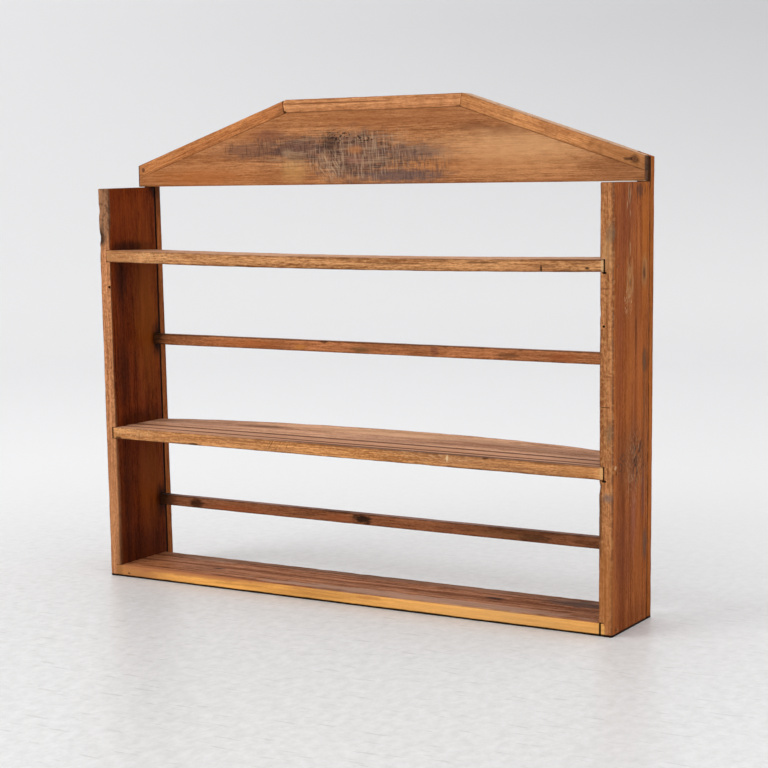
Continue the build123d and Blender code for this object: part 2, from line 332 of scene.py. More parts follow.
def agedPine(name, look):
    # Old pine, planed by hand and oiled: long red and orange streaks with fine darker lines,
    # satin where it was handled, rubbed on the arrises, knots and stains where they fell
    look = {**pineBasics, **look}
    material = bpy.data.materials.new(name)
    material.use_nodes = True
    tree = material.node_tree
    shader = tree.nodes["Principled BSDF"]
    place = addNode(tree, "TexCoord", {}).outputs["Object"]
    turn = (0, math.pi / 2 if look["grain"] == "z" else look["lean"], 0)
    shift = [s * mm for s in look["shift"]]
    board = addNode(tree, "Mapping", {"Vector": place, "Location": shift, "Rotation": turn}).outputs[0]

    # The grain bends slowly along the board
    length, width, reach = look["drift"]
    bends = addNode(tree, "Mapping", {"Vector": board, "Scale": perMetre(length, width, width)}).outputs[0]
    bends = addNode(tree, "TexNoise", {"Vector": bends, "Scale": 1.0, "Detail": 2.0}).outputs["Color"]
    wavy = addNode(tree, "VectorMath", {0: bends, 1: (0, reach * mm, reach * mm), 2: board},
                   operation="MULTIPLY_ADD").outputs[0]

    heart = [0] + [s * mm for s in look["pith"]]
    heart = addNode(tree, "Mapping", {"Vector": wavy, "Location": heart}).outputs[0]
    rings = addNode(tree, "TexWave", {"Vector": heart, "Scale": 2 * math.pi / 20 / (look["ringGap"] * mm),
                                      "Distortion": 2.5, "Detail": 2.0, "Detail Scale": 0.6},
                    wave_type="RINGS", rings_direction="X", wave_profile="SAW").outputs["Fac"]
    shares = [look["ringShare"]] + [layer[3] for layer in look["layers"]]
    tone = addNode(tree, "Math", {0: rings, 1: shares[0], 2: 0.5 - 0.5 * sum(shares)},
                   operation="MULTIPLY_ADD").outputs[0]
    for *size, share in look["layers"]:
        drawn = addNode(tree, "Mapping", {"Vector": wavy, "Scale": perMetre(*size)}).outputs[0]
        drawn = addNode(tree, "TexNoise",
                        {"Vector": drawn, "Scale": 1.0, "Detail": 2.5, "Roughness": 0.6}).outputs["Fac"]
        tone = addNode(tree, "Math", {0: drawn, 1: share, 2: tone}, operation="MULTIPLY_ADD").outputs[0]

    # Face, front edge and ends have middle tones of their own. Some side tones carry painted light: the dark
    # inside faces of the side boards are partly painted shade, the near-black tongue ends are painted shade,
    # the paler cap tops a painted highlight
    normal = addNode(tree, "NewGeometry", {}).outputs["Normal"]
    normal = addNode(tree, "SeparateXYZ", {0: normal})
    stops = pineTones(look["tone"], look["spread"])
    colour = addNode(tree, "ValToRGB", {"Fac": tone}, stops=stops).outputs[0]
    for axis, sign, code, spread in look["sides"]:
        facing = addNode(tree, "MapRange", {"Value": normal.outputs[axis], "From Min": 0.45 * sign,
                                            "From Max": 0.8 * sign},
                         interpolation_type="SMOOTHSTEP").outputs[0]
        other = addNode(tree, "ValToRGB", {"Fac": tone}, stops=pineTones(code, spread)).outputs[0]
        colour = addNode(tree, "Mix", {0: facing, 6: colour, 7: other}, data_type="RGBA").outputs[2]

    # Dark lines of resin and dirt along the grain, then clouds of another tone
    for (length, width, amount), code, detail, start, full in (
            (look["lines"], look["lineTone"], 2.0, 0.58, 0.72),
            ((*look["patch"], look["patchAmount"]), look["patchTone"], 3.0, 0.45, 0.68)):
        scale = perMetre(length, width, width)
        drawn = addNode(tree, "Mapping", {"Vector": wavy, "Scale": scale}).outputs[0]
        drawn = addNode(tree, "TexNoise", {"Vector": drawn, "Scale": 1.0, "Detail": detail}).outputs["Fac"]
        cover = addNode(tree, "MapRange", {"Value": drawn, "From Min": start, "From Max": full,
                                           "To Max": amount}, interpolation_type="SMOOTHSTEP").outputs[0]
        colour = addNode(tree, "Mix", {0: cover, 6: colour, 7: hexColour(code)},
                         data_type="RGBA").outputs[2]

    # Rubbed arrises
    scale = perMetre(look["wearGrit"])[0]
    grit = addNode(tree, "TexNoise", {"Vector": place, "Scale": scale, "Detail": 3.0}).outputs["Fac"]
    arris = addNode(tree, "Attribute", {}, attribute_name="arris").outputs["Fac"]
    rubbed = addNode(tree, "Math", {0: grit, 1: 0.9, 2: arris}, operation="MULTIPLY_ADD").outputs[0]
    rubbed = addNode(tree, "MapRange", {"Value": rubbed, "From Min": 0.85, "From Max": 1.4,
                                        "To Max": look["wearAmount"]},
                     interpolation_type="SMOOTHSTEP").outputs[0]
    colour = addNode(tree, "Mix", {0: rubbed, 6: colour, 7: hexColour(look["wearTone"])},
                     data_type="RGBA").outputs[2]

    # Knots, stains and scuffs, and patches of painted shade and highlight, each a ragged spot or a spot
    # filled with strokes
    for spot in look["marks"]:
        centre = [-a / r for a, r in zip(spot["at"], spot["size"])]
        near = addNode(tree, "Mapping", {"Vector": place, "Scale": perMetre(*spot["size"]),
                                         "Location": centre}).outputs[0]
        near = addNode(tree, "VectorMath", {0: near}, operation="LENGTH").outputs["Value"]
        grain, amount = spot["ragged"]
        scale = perMetre(3 * grain, grain, grain)
        torn = addNode(tree, "Mapping", {"Vector": wavy, "Scale": scale}).outputs[0]
        torn = addNode(tree, "TexNoise", {"Vector": torn, "Scale": 1.0, "Detail": 3.0}).outputs["Fac"]
        near = addNode(tree, "Math", {0: torn, 1: 2 * amount, 2: near}, operation="MULTIPLY_ADD").outputs[0]
        rim, soft = 1 + amount, spot["soft"]
        cover = addNode(tree, "MapRange", {"Value": near, "From Min": rim + soft, "From Max": rim - soft,
                                           "To Max": spot["strength"]},
                        interpolation_type="SMOOTHSTEP").outputs[0]
        if spot["strokes"]:
            size, turn = spot["strokes"]
            lines = addNode(tree, "Mapping", {"Vector": place, "Rotation": turn}).outputs[0]
            lines = addNode(tree, "Mapping", {"Vector": lines, "Scale": perMetre(*size)}).outputs[0]
            lines = addNode(tree, "TexNoise", {"Vector": lines, "Scale": 1.0, "Detail": 1.5}).outputs["Fac"]
            lines = addNode(tree, "MapRange", {"Value": lines, "From Min": 0.52, "From Max": 0.62},
                            interpolation_type="SMOOTHSTEP").outputs[0]
            cover = addNode(tree, "Math", {0: cover, 1: lines}, operation="MULTIPLY").outputs[0]
        colour = addNode(tree, "Mix", {0: cover, 6: colour, 7: hexColour(spot["tone"])},
                         data_type="RGBA").outputs[2]

    tree.links.new(colour, shader.inputs["Base Color"])
    low, high = look["rough"]
    gloss = addNode(tree, "MapRange", {"Value": tone, "From Min": 0.3, "From Max": 0.7, "To Min": high,
                                       "To Max": low}).outputs[0]
    tree.links.new(gloss, shader.inputs["Roughness"])
    shader.inputs["Specular IOR Level"].default_value = 0.04
    relief = addNode(tree, "Bump", {"Height": tone, "Strength": 0.4, "Distance": 0.5 * mm}).outputs[0]
    tree.links.new(relief, shader.inputs["Normal"])
    return material


# Side boards with housings for the shelves and notches for the rails

sideBoard = dict(
    slot="side_pine", frontArris=2.2, backArris=2.0, housing=10.0, headroom=0.3,
    notch=14.0, railDepth=18.0, play=0.3, rise=0.0, rearRise=0.0, steps=(6.5, 7.0, 8.0),
    reach=6.0, knock=26.0, wear=0.6, wave=90.0, planing=0.25,
    # In the front edge: x, z and radius of an empty nail hole, x and z range and depth of slits,
    # and x, z, radius and depth of dents
    holeDepth=9.0, slits=(),
)
# Painted contact shadow where the boards meet the floor: a dark band along their feet
footShade = mark((0, 0, 0), (3000, 900, 4.2), "120804", 0.97, (14, 0.3), 0.2)
# Dark line where side and post meet
rearLine = mark((0, 66.5, 400), (3000, 3.0, 3000), "140803", 0.9, (30, 0.3))
sideLooks = {
    "left": dict(
        seed=1, grain="z", shift=(130, 40, 10), tone="9a5327", patchTone="7a3417", patchAmount=0.3,
        layers=((600, 20, 20, 0.8), (220, 3.6, 3.6, 1.0), (24, 1.8, 1.8, 1.2), (6, 2.4, 2.4, 0.9)),
        # The +X side tone darkens the inside face: partly the unfaded finish, partly painted shade inside
        # the rack
        sides=((1, -1, "bb7d52", 1.2), (0, 1, "652704", 1.5), (2, 1, "5a3a28", 1.0)),
        wearTone="5c3a26", wearAmount=0.7, lineTone="2a1006",
        twist=dict(rearTop=-4.0, rearFoot=4.6, frontTop=-3.8, frontFoot=1.2), rearRise=1.8,
        hole=(-528.9, 586, 3.3),
        dents=((-550, 684, 12, 2.2), (-550, 738, 11, 1.8), (-550, 662, 10, 1.6)),
        marks=(
            mark((-539, -85, 735), (16, 6, 60), "80644e", 0.6, (9, 0.5)),
            mark((-537, -85, 765), (24, 6, 100), "7a5038", 0.22, (9, 0.6), 0.9),
            mark((-539, -85, 738), (16, 6, 56), "35231a", 0.5, (5, 0.8), strokes=((6, 30, 9), (0, 0.4, 0))),
            mark((-545, -85, 690), (6, 6, 26), "5c4536", 0.6, (5, 0.8)),
            mark((-548, -85, 684), (6, 6, 14), "2c1c14", 0.85, (4, 0.5)),
            mark((-537, -85, 400), (30, 6, 420), "7a4a2c", 0.35, strokes=((8, 30, 5), (0, 0.3, 0))),
            mark((-537, -85, 130), (24, 6, 160), "c98d60", 0.4, (8, 0.7), 0.9),
            mark((-524, 25, 540), (8, 34, 150), "9a5218", 0.55, (12, 0.7), 0.8),
            mark((-524, 24, 190), (8, 36, 90), "8a4614", 0.6, (12, 0.7), 0.8),
            mark((-524, -20, 730), (8, 40, 50), "8a4014", 0.45, (12, 0.7), 0.8),
            # This mark is painted shade under the back of the pediment
            mark((-524, 62, 779), (8, 12, 22), "140804", 0.95, soft=0.6),
            # The next two marks are painted shade just above and just under the top shelf
            mark((-524, -25, 664), (8, 60, 12), "1c0b05", 0.7, soft=0.6),
            mark((-524, -52, 605), (8, 16, 55), "1c0a04", 0.75, soft=0.8),
            # This mark is painted shade round the upper rail's end
            mark((-524, 57, 470), (8, 16, 28), "100603", 0.9, soft=0.7),
            # This mark is a dark streak near the front edge
            mark((-524, -55, 420), (8, 18, 70), "2a1006", 0.5, soft=0.8),
            # This mark is painted shade just above the middle shelf
            mark((-524, -10, 315), (8, 60, 16), "200c05", 0.5, soft=0.8),
            # This mark is painted shade round the lower rail's end
            mark((-524, 55, 135), (8, 16, 28), "100603", 0.9, soft=0.7),
            # This mark is a dark streak near the front edge
            mark((-524, -55, 160), (8, 18, 90), "2a1006", 0.5, soft=0.8),
            # This mark is painted shade just above the bottom shelf
            mark((-524, -10, 40), (8, 120, 50), "35150a", 0.5, soft=0.9),
            footShade, rearLine,
        )),
    "right": dict(
        seed=2, headroom=1.2, grain="z", shift=(-60, 15, -25), tone="985324",
        patchTone="7a3c1a", patchAmount=0.45, patch=(200, 22), lines=(200, 3.0, 0.2),
        layers=((700, 16, 16, 1.0), (260, 4.4, 3.6, 0.9), (30, 2.0, 1.8, 1.1), (6, 2.4, 2.4, 0.9)),
        # The -X side tone darkens the inside face: partly the unfaded finish, partly painted shade inside
        # the rack
        sides=((1, -1, "b07448", 1.1), (0, -1, "652704", 1.2), (2, 1, "5a3a28", 1.0)),
        wearTone="6e4a38", wearAmount=0.8,
        twist=dict(rearTop=3.6, rearFoot=0.2, frontTop=-0.8, frontFoot=-3.4), rise=1.8,
        hole=(532.3, 539, 2.7),
        # A saw slip, and splinters out of the lower corners of two housings
        slits=((520, 543, 399.7, 401.3, 2.2),
               (529.5, innerHalf + sideBoard["housing"], 629, 631.5, 5),
               (529.5, innerHalf + sideBoard["housing"], 271.6, 274.2, 5)),
        dents=((526, 262, 9, 2.0), (550, 604, 10, 1.0), (550, 398, 9, 1.0), (524.5, 560, 9, 0.9)),
        marks=(
            # Broad bands, paler behind and redder in front
            mark((550, 46, 700), (8, 13, 120), "b06424", 0.6, (9, 0.6), 0.7),
            mark((550, -35, 720), (8, 46, 70), "743620", 0.55, (12, 0.7), 0.8),
            mark((550, 10, 570), (8, 20, 70), "7c3f1c", 0.45, (8, 0.7), 0.8),
            mark((550, -56, 500), (8, 14, 160), "8a4424", 0.5, (9, 0.7), 0.8),
            mark((550, -20, 440), (8, 14, 120), "a45a24", 0.45, (8, 0.7), 0.8),
            mark((550, 30, 440), (8, 16, 110), "a65822", 0.5, (8, 0.7), 0.8),
            mark((550, 0, 370), (8, 12, 60), "7e4020", 0.45, (8, 0.7), 0.8),
            mark((550, -45, 140), (8, 36, 90), "6c3420", 0.55, (12, 0.7), 0.8),
            mark((550, 28, 130), (8, 22, 90), "96501c", 0.45, (9, 0.7), 0.8),
            mark((550, -20, 16), (8, 90, 26), "6a3014", 0.45, (12, 0.7), 0.9),
            mark((550, 5, 200), (8, 10, 60), "8a5048", 0.4, (6, 0.8), 0.8),
            # Knots with pale outlines
            mark((550, 45, 628), (8, 12, 26), "b48a5c", 0.45, (4, 0.6)),
            mark((550, 44, 626), (8, 8.5, 19), "7c4826", 0.7, (4, 0.6)),
            mark((550, 43, 624), (8, 4, 9), "4a3020", 0.7, (3, 0.8)),
            mark((550, 47, 470), (8, 8, 24), "54402f", 0.7, (4, 0.8)),
            mark((550, 48, 400), (8, 4, 60), "6a4a34", 0.5, (4, 0.8)),
            mark((550, -17, 612), (8, 13, 27), "b89468", 0.42, (4, 0.5), 0.35),
            mark((550, -17, 612), (8, 9, 21), "985829", 0.85, (4, 0.5), 0.3),
            mark((550, -16, 610), (8, 3.5, 7), "54301c", 0.7, (3, 0.5)),
            mark((550, -24, 576), (8, 16, 22), "cfa880", 0.45, (4, 0.7),
                 strokes=((30, 3.4, 7), (0.5, 0, 0))),
            mark((550, -18, 620), (8, 14, 60), "c09868", 0.4, (4, 0.8),
                 strokes=((30, 3, 22), (0.05, 0, 0))),
            mark((550, 10, 520), (8, 4, 30), "5a2e16", 0.65, (5, 0.7)),
            # Scuffs at the top and beside the middle housing
            mark((550, 10, 762), (8, 46, 24), "40281c", 0.65, (5, 0.8), strokes=((30, 6, 30), (0, 0, 0))),
            mark((550, 22, 768), (8, 14, 12), "4a3228", 0.6, (4, 0.9)),
            mark((550, -24, 752), (8, 10, 30), "b8926e", 0.6, (4, 0.8), strokes=((30, 4, 26), (0.1, 0, 0))),
            mark((550, 0, 300), (8, 60, 46), "5c4030", 0.35, (6, 0.9), 0.9),
            mark((550, 22, 300), (8, 26, 44), "33221a", 0.8, (4, 0.8), strokes=((30, 5, 12), (0.5, 0, 0))),
            mark((550, 5, 285), (8, 34, 60), "c0a07c", 0.22, (4, 0.8), strokes=((30, 4, 10), (-0.4, 0, 0))),
            mark((550, 31, 318), (8, 5, 11), "3a241a", 0.6, (3, 0.9)),
            mark((550, 15, 292), (8, 4, 15), "3a241a", 0.6, (3, 0.9)),
            mark((550, -48, 298), (8, 18, 18), "4a3226", 0.65, (4, 0.8), strokes=((30, 5, 6), (0.8, 0, 0))),
            mark((550, -74, 295), (8, 4.5, 3.6), "d0aa80", 0.7, (3, 0.2)),
            mark((550, 53, 140), (8, 8, 28), "4c4038", 0.6, (4, 0.8)),
            mark((550, 45, 230), (8, 6, 44), "6a4440", 0.45, (4, 0.8)),
            # Front edge
            mark((537, -85, 400), (30, 6, 420), "7c4a28", 0.4, strokes=((8, 30, 5), (0, -0.3, 0))),
            mark((537, -85, 400), (30, 6, 420), "cf9860", 0.3, strokes=((7, 30, 7), (0, 0.3, 0))),
            mark((544, -85, 696), (8, 8, 14), "75614a", 0.6, (5, 0.8), 0.7),
            mark((536, -85, 660), (10, 8, 24), "c89a68", 0.4, (5, 0.8), 0.8),
            mark((541, -85, 355), (6, 8, 16), "6c5a44", 0.6, (5, 0.8), 0.7),
            mark((538, -85, 244), (9, 8, 7), "76655c", 0.65, (4, 0.8), 0.6),
            mark((536, -85, 80), (14, 8, 80), "a0602e", 0.6, (6, 0.8), 0.8),
            mark((538, -85, 453), (12, 8, 1.6), "6a3820", 0.45, (5, 0.5)),
            mark((534, -85, 603), (9, 8, 1.6), "5c341e", 0.45, (5, 0.5)),
            mark((525, -85, 215), (2.6, 8, 70), "4a2a18", 0.6, (6, 0.8)),
            # Painted shade inside the splinter notches at the lower corners of the housings
            mark((532, -83, 630), (4, 8, 2.2), "120804", 0.95, (3, 0.2), 0.2),
            mark((532, -83, 272.6), (4, 8, 2.2), "120804", 0.95, (3, 0.2), 0.2),
            footShade,
        )),
}


def twistBoard(board, twist, most=10.0):
    # The board has gone a little in wind: its corners moved sideways by these amounts
    def moved(p):
        share = (p.y - frontY) / (sideBackY - frontY)
        rise = p.z / sideHeight
        front = twist["frontFoot"] + (twist["frontTop"] - twist["frontFoot"]) * rise
        rear = twist["rearFoot"] + (twist["rearTop"] - twist["rearFoot"]) * rise
        return front + (rear - front) * share

    push(board, lambda p: moved(p) / most, most, "X")
    push(board, lambda p: -moved(p) / most, -most, "X")


def makeSide(hand):
    node = "side_board_" + hand
    sign = hands[hand]
    look = {**sideBoard, **sideLooks[hand]}
    xs = sorted((sign * innerHalf, sign * halfWidth))
    top = sideHeight + look["rise"]
    low, high = (xs[0], frontY, 0.0), (xs[1], sideBackY, top)
    board = startBoard("sideBoard" + hand.title(), low, high)
    moveCorners(board, lambda p: p.z > top - touch and p.y > sideBackY - touch, (0, 0, look["rearRise"]))
    roundEdges(board, lambda p: p.y < frontY + touch, look["frontArris"], along=2)
    roundEdges(board, lambda p: p.y > sideBackY - touch, look["backArris"], along=2)
    roundEdges(board, lambda p: p.z > top - touch, look["backArris"])
    for seat in shelfSeats.values():
        xs = sorted((sign * (innerHalf - clear), sign * (innerHalf + look["housing"])))
        ceiling = seat[hand] + seat["thick"] + look["headroom"]
        floorZ = seat[hand] - (clear if seat[hand] == 0 else 0)
        cutter = startBoard("cutter", (xs[0], frontY - clear, floorZ), (xs[1], sideBackY + clear, ceiling))
        moveCorners(cutter, lambda p: p.y < frontY and p.z > ceiling - touch, (0, 0, seat["lift"][hand]))
        takeAway(board, cutter)
    for seat in railSeats.values():
        xs = sorted((sign * (innerHalf - clear), sign * (innerHalf + look["notch"])))
        nearY = sideBackY - look["railDepth"] - look["play"]
        roof = seat[hand] + seat["thick"] + look["play"]
        cutBox(board, (xs[0], nearY, seat[hand]), (xs[1], sideBackY + clear, roof))
    x, z, radius = look["hole"]
    boreHole(board, (x, frontY, z), radius, look["holeDepth"])
    for x, farX, z, farZ, depth in look["slits"]:
        cutBox(board, (x, frontY - clear, z), (farX, frontY + depth, farZ))
    cutGrid(board, look["steps"])
    wearBoard(board, low, high, look)
    for x, z, radius, depth in look["dents"]:
        dent(board, (x, frontY, z), radius, depth)
    twistBoard(board, look["twist"])
    finishPiece(board, node, agedPine("agedPineSide" + hand.title(), look))


for hand in hands:
    makeSide(hand)
print("side boards done")

# Posts behind the sides, with heads cut to the slope of the cap strips

rearPost = dict(slot="post_pine", arris=1.2, headRise=8.57, steps=(8.5, 6.5, 9.0),
                reach=6.0, knock=30.0, wear=0.4, wave=100.0, planing=0.2)
postLooks = {
    "left": dict(seed=3, endHeight=826.4, grain="z", shift=(220, 70, 30), tone="965428",
                 wearTone="2a140a", wearAmount=0.7,
                 # The first mark is painted shade on the post's inside face under the pediment
                 marks=(mark((-524, 76, 790), (20, 20, 60), "2a150b", 0.7, soft=0.9), footShade, rearLine)),
    "right": dict(seed=4, endHeight=826.0, grain="z", shift=(310, -20, 60), tone="9a541e",
                  wearTone="432412", wearAmount=0.6,
                  marks=(mark((552, 66, 806), (6, 4, 34), "33241c", 0.85, soft=0.3), footShade)),
}


def makePost(hand):
    sign = hands[hand]
    look = {**rearPost, **postLooks[hand]}
    xs = sorted((sign * innerHalf, sign * halfWidth))
    low, high = (xs[0], sideBackY, 0.0), (xs[1], wallY, look["endHeight"])
    board = startBoard("rearPost" + hand.title(), low, high)
    moveCorners(board, lambda p: p.z > high[2] - clear and abs(p.x) < innerHalf + clear,
                (0, 0, look["headRise"]))
    roundEdges(board, lambda p: True, look["arris"], along=2, segments=2)
    cutGrid(board, look["steps"])
    wearBoard(board, low, (high[0], high[1], high[2] + look["headRise"]), look)
    twistBoard(board, sideLooks[hand]["twist"])
    finishPiece(board, "rear_post_" + hand, agedPine("agedPinePost" + hand.title(), look))


for hand in hands:
    makePost(hand)
print("rear posts done")

# Shelves, laid straight and then bent as the years left them

shelfBoard = dict(slot="shelf_pine", depth=149.0, arris=2.2, backArris=1.0, tongues=(9.8, 8.5),
                  grooveWidth=9.0, grooveDepth=2.5, grooves=(), sag=0.0, cup=0.0, split=None,
                  steps=(9.0, 7.5, 8.0), reach=6.0, knock=28.0, wear=0.6, wave=110.0, planing=0.3)


def grooveShade(setback, tone, strength):
    # Painted shade along a plate groove, darker than the light leaves it
    return mark((0, frontY + setback, 300), (9000, 4.8, 9000), tone, strength, (40, 0.15), 0.2)


# Seen from low in front, only wide streaks show on a shelf's top, and fine ones on its front
shelfLooks = {
    "shelf_top": dict(
        seed=5, sag=5.0, tongues=(12.4, 5.5), shift=(40, 12, 8), tone="c3916d",
        # The last side tone paints the right tongue's end near black: painted shade seen through the gap in
        # the housing
        sides=((1, -1, "b98253", 1.3), (2, -1, "94603a", 1.0), (0, 1, "170b05", 1.0)),
        layers=((300, 22, 16, 0.7), (110, 9, 3, 1.0), (18, 4, 1.7, 1.3), (6, 3, 2.4, 0.8)),
        wearTone="6a452a", wearAmount=0.7,
        marks=(
            mark((421, -85, 640), (26, 8, 2.2), "3c2010", 0.4, (4, 0.7)),
            mark((414, -85, 635), (1.8, 8, 6), "2a1408", 0.85, (3, 0.5)),
            mark((500, -85, 637.5), (4.5, 8, 2.2), "2a1408", 0.85, (3, 0.5)),
            mark((470, -86, 651), (76, 6, 1.7), "5a3018", 0.75, (6, 0.4)),
            mark((300, -85, 645), (34, 8, 1.8), "4a2a16", 0.7, (5, 0.7)),
            mark((120, -85, 641), (60, 8, 1.6), "5c3820", 0.6, (6, 0.7)),
            mark((490, -85, 646), (16, 8, 2.2), "5a3018", 0.6, (4, 0.7)),
            mark((528, -85, 641), (3, 8, 12), "d8b080", 0.6, (4, 0.3)),
            mark((-530, -85, 646), (7, 8, 30), "b07a4e", 0.7, (4, 0.3)),
            mark((-505, -85, 646), (30, 8, 16), "a06a40", 0.5, (6, 0.7), 0.7),
            mark((-440, -85, 646), (80, 8, 10), "d0aa78", 0.35, (5, 0.8),
                 strokes=((4, 30, 9), (0, 0.6, 0))),
        )),
    "shelf_middle": dict(
        seed=6, cup=13.5, grooves=(28.0, 61.0), tongues=(9.8, 5.2), shift=(-70, 33, 4), tone="ca9775",
        # The last side tone paints the right tongue's end near black: painted shade seen through the gap in
        # the housing
        sides=((1, -1, "d1925a", 1.05), (2, -1, "94603a", 1.0), (0, 1, "170b05", 1.0)),
        layers=((520, 30, 18, 1.0), (240, 16, 3.4, 1.1), (22, 2, 1.7, 1.2), (6, 2, 2.4, 0.8)),
        lines=(160, 2.2, 0.15), spread=0.95, patchTone="8b6650", patchAmount=0.35, patch=(300, 40),
        wearTone="6a4226", wearAmount=0.7,
        marks=(
            mark((0, frontY + 34, 300), (9000, 30, 9000), "c8926f", 0.6, (30, 0.05), 0.08),
            grooveShade(28, "42241a", 0.72), grooveShade(61, "42241a", 0.72),
            mark((200, frontY + 9, 300), (420, 6.5, 60), "3f2216", 0.75, (40, 0.3), 0.3),
            mark((-335, -85, 282), (10, 8, 3), "3f2614", 0.8, (4, 0.6)),
            mark((290, -85, 275), (12, 8, 3), "3f2614", 0.8, (4, 0.6)),
            mark((304, -85, 298), (6, 8, 3), "4a2c18", 0.8, (4, 0.6)),
            mark((-132, -85, 292), (34, 8, 12), "6a3c1e", 0.7, strokes=((3.0, 30, 24), (0, -0.5, 0))),
            mark((-480, -85, 298), (60, 8, 10), "d8b080", 0.45, strokes=((4, 30, 6), (0, 0.5, 0))),
            mark((180, -85, 292), (90, 8, 8), "dcb488", 0.4, strokes=((14, 30, 2.2), (0, -0.2, 0))),
            mark((-520, -85, 284), (7, 8, 2.4), "2e190d", 0.8, (4, 0.7)),
            mark((227, -85, 292), (2.2, 8, 6), "e2c496", 0.8, (3, 0.5)),
            mark((-533.5, -85, 293), (1.8, 8, 16), "2a160b", 0.85, (4, 0.3), 0.5),
            mark((486, -85, 287), (36, 8, 14), "a0663c", 0.45, (6, 0.7), 0.7),
            mark((526, -85, 286), (3, 8, 14), "dcae74", 0.6, (4, 0.3)),
            mark((-243, 30, 305), (55, 7, 16), "5b3a2c", 0.75, (5, 0.8)),
            # This mark is a painted highlight on the top's rear at mid span, where the cup faces the light
            mark((60, 40, 312), (220, 16, 16), "d2a57c", 0.5, (14, 0.7), 0.8),
            mark((300, 20, 305), (160, 18, 20), "80523c", 0.25, (12, 0.8), 0.8),
            mark((-380, 20, 305), (110, 20, 20), "8a5a40", 0.45, (12, 0.8), 0.8),
        )),
    "shelf_bottom": dict(
        seed=7, grooves=(76.0,), split=(-0.9, 0.5, 26), shift=(95, -21, 6), tone="9e6440",
        sides=((1, -1, "efab5a", 0.34), (2, -1, "94603a", 1.0)),
        layers=((420, 24, 18, 0.9), (200, 9, 3.2, 1.3), (30, 5, 1.6, 1.1), (6, 3, 2.4, 0.6)),
        lines=(200, 8.0, 0.2), spread=1.35, patchTone="5c3a2a", patchAmount=0.25,
        wearTone="c88a50", wearAmount=0.25,
        marks=(
            grooveShade(76, "7e4c34", 0.9),
            mark((0, 52, 22), (560, 16, 6), "5a4236", 0.55, (16, 0.6)),
            mark((150, -62, 23), (330, 18, 6), "b8947e", 0.6, (16, 0.8), 0.3),
            mark((-327, -23, 22), (14, 5, 6), "3a2014", 0.85, (4, 0.7)),
            mark((280, -1, 22), (20, 6, 6), "33201a", 0.85, (5, 0.7)),
            mark((440, 26, 22), (70, 20, 6), "44342e", 0.75, (8, 0.8)),
            mark((-380, 36, 22), (70, 10, 6), "9a7a66", 0.5, (8, 0.9)),
            mark((-360, -85, 24), (220, 8, 8), "b07048", 0.85, (12, 0.6), 0.5),
            mark((-500, -85, 12), (90, 8, 26), "a86c44", 0.7, (12, 0.6), 0.8),
            mark((-531, -85, 11), (12, 8, 30), "a06a3e", 0.85, (4, 0.3)),
            mark((-503, -85, 8), (3, 8, 2.2), "4a2a16", 0.8, (3, 0.5)),
            mark((60, -85, 18), (30, 8, 3), "c07a3c", 0.7, (5, 0.8)),
            mark((300, -85, 12), (200, 8, 14), "f6c07a", 0.4, (12, 0.6), 0.8),
            # This mark is painted shade deepening the split at the right end
            mark((524.3, -85, 12), (2.0, 8, 40), "1a0c05", 0.9, (5, 0.2), 0.3),
            footShade,
        )),
}


def makeShelf(node, name):
    seat = shelfSeats[node]
    look = {**shelfBoard, **shelfLooks[node]}
    left, right = look["tongues"]
    base, top = seat["left"], seat["left"] + seat["thick"]
    backY = frontY + look["depth"]
    low, high = (-innerHalf - left, frontY, base), (innerHalf + right, backY, top)
    board = startBoard(name, low, high)
    roundEdges(board, lambda p: p.y < frontY + touch, look["arris"], along=0)
    roundEdges(board, lambda p: p.y > backY - touch, look["backArris"], along=0, segments=2)
    lips = [g + s * look["grooveWidth"] / 2 for g in look["grooves"] for s in (-1, 0, 1)]
    cutAcross(board, 1, [frontY + g for g in lips])
    if look["split"]:
        # Checked end: the last stretch has split from the rest along the side board
        fromX, toX, depth = look["split"]
        cutBox(board, (innerHalf + fromX, frontY - clear, base - clear),
               (innerHalf + toX, frontY + depth, top + clear))
    cutGrid(board, look["steps"])
    wearBoard(board, low, high, look)
    lift = seat["lift"]
    if lift["left"]:
        drop = 1 - lift["right"] / lift["left"]

        def swollen(p):
            return (1 - drop * heightShare(p)) * (backY - p.y) / look["depth"] * (p.z - base) / seat["thick"]

        push(board, swollen, lift["left"], "Z")
    for groove in look["grooves"]:
        lineY, half = frontY + groove, look["grooveWidth"] / 2
        upper = top - look["grooveDepth"]
        push(board, lambda p: max(0.0, 1 - abs(p.y - lineY) / half) if p.z > upper else 0.0,
             -look["grooveDepth"], "Z")
    if seat["right"] != seat["left"]:
        push(board, heightShare, seat["right"] - seat["left"], "Z")
    if look["sag"]:
        push(board, spanBow, -look["sag"], "Z")
    if look["cup"]:
        run = look["depth"] - look["arris"]
        push(board, lambda p: cupBow(p) * max(0.0, (p.y - frontY - look["arris"]) / run) ** 2,
             look["cup"] * cupGain, "Z")
    finishPiece(board, node, agedPine("agedPine" + name[0].upper() + name[1:], look))


makeShelf("shelf_top", "shelfTop")
makeShelf("shelf_middle", "shelfMiddle")
makeShelf("shelf_bottom", "shelfBottom")
print("shelves done")

# Plate rails

